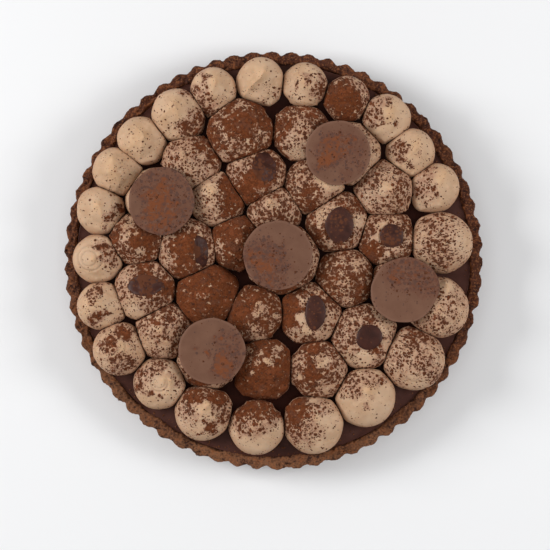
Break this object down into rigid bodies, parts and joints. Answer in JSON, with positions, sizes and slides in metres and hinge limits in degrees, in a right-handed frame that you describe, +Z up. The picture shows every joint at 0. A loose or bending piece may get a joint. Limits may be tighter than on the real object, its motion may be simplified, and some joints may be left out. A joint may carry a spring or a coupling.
{
  "type": "chocolate tart",
  "caption": "Round fluted cocoa pastry tart filled with ganache and covered by rings of piped chocolate cream domes with chocolate discs.",
  "frame": {"origin": "centre of the pastry case's flat foot, at the bottom of the tart", "axes": "+Z up out of the tart; +X to the right and +Y away from the viewer as the tart is seen from above; the tart is round about Z apart from its toppings"},
  "size_m": [0.2494, 0.2496, 0.0461],
  "materials": {
    "cocoa_pastry": "baked cocoa shortcrust, dry, grainy and matte",
    "ganache": "set dark chocolate ganache, smooth with a soft sheen",
    "chocolate_cream": "smooth piped milk chocolate cream, satin, dusted with cocoa powder",
    "milk_chocolate": "thin snapped milk chocolate, satin, dusted with cocoa powder",
    "dark_ganache": "soft dark ganache, smooth and slightly glossy"
  },
  "bodies": {
    "root": {"disc_centre": "milk_chocolate", "disc_lower_left": "milk_chocolate", "disc_right": "milk_chocolate", "disc_upper_left": "milk_chocolate", "disc_upper_right": "milk_chocolate", "dome_inner_01": "chocolate_cream", "dome_inner_02": "chocolate_cream", "dome_inner_03": "chocolate_cream", "dome_outer_01": "chocolate_cream", "dome_outer_02": "chocolate_cream", "dome_outer_03": "chocolate_cream", "dome_outer_04": "chocolate_cream", "dome_outer_05": "chocolate_cream", "dome_outer_06": "chocolate_cream", "dome_outer_07": "chocolate_cream", "dome_outer_08": "chocolate_cream", "dome_outer_09": "chocolate_cream", "dome_outer_10": "chocolate_cream", "dome_outer_11": "chocolate_cream", "dome_outer_12": "chocolate_cream", "dome_outer_13": "chocolate_cream", "dome_outer_14": "chocolate_cream", "dome_outer_15": "chocolate_cream", "dome_outer_16": "chocolate_cream", "dome_outer_17": "chocolate_cream", "dome_outer_18": "chocolate_cream", "dome_outer_19": "chocolate_cream", "dome_outer_20": "chocolate_cream", "dome_outer_21": "chocolate_cream", "dome_outer_22": "chocolate_cream", "dome_second_01": "chocolate_cream", "dome_second_02": "chocolate_cream", "dome_second_03": "chocolate_cream", "dome_second_04": "chocolate_cream", "dome_second_05": "chocolate_cream", "dome_second_06": "chocolate_cream", "dome_second_07": "chocolate_cream", "dome_second_08": "chocolate_cream", "dome_second_09": "chocolate_cream", "dome_second_10": "chocolate_cream", "dome_second_11": "chocolate_cream", "dome_second_12": "chocolate_cream", "dome_second_13": "chocolate_cream", "dome_second_14": "chocolate_cream", "dome_second_15": "chocolate_cream", "dome_third_01": "chocolate_cream", "dome_third_02": "chocolate_cream", "dome_third_03": "chocolate_cream", "dome_third_04": "chocolate_cream", "dome_third_05": "chocolate_cream", "dome_third_06": "chocolate_cream", "dome_third_07": "chocolate_cream", "dome_third_08": "chocolate_cream", "dome_third_09": "chocolate_cream", "ganache_filling": "ganache", "pastry_case": "cocoa_pastry", "pool_lower": "dark_ganache", "pool_lower_right": "dark_ganache", "pool_right": "dark_ganache", "pool_upper": "dark_ganache"}
  },
  "joints": []
}
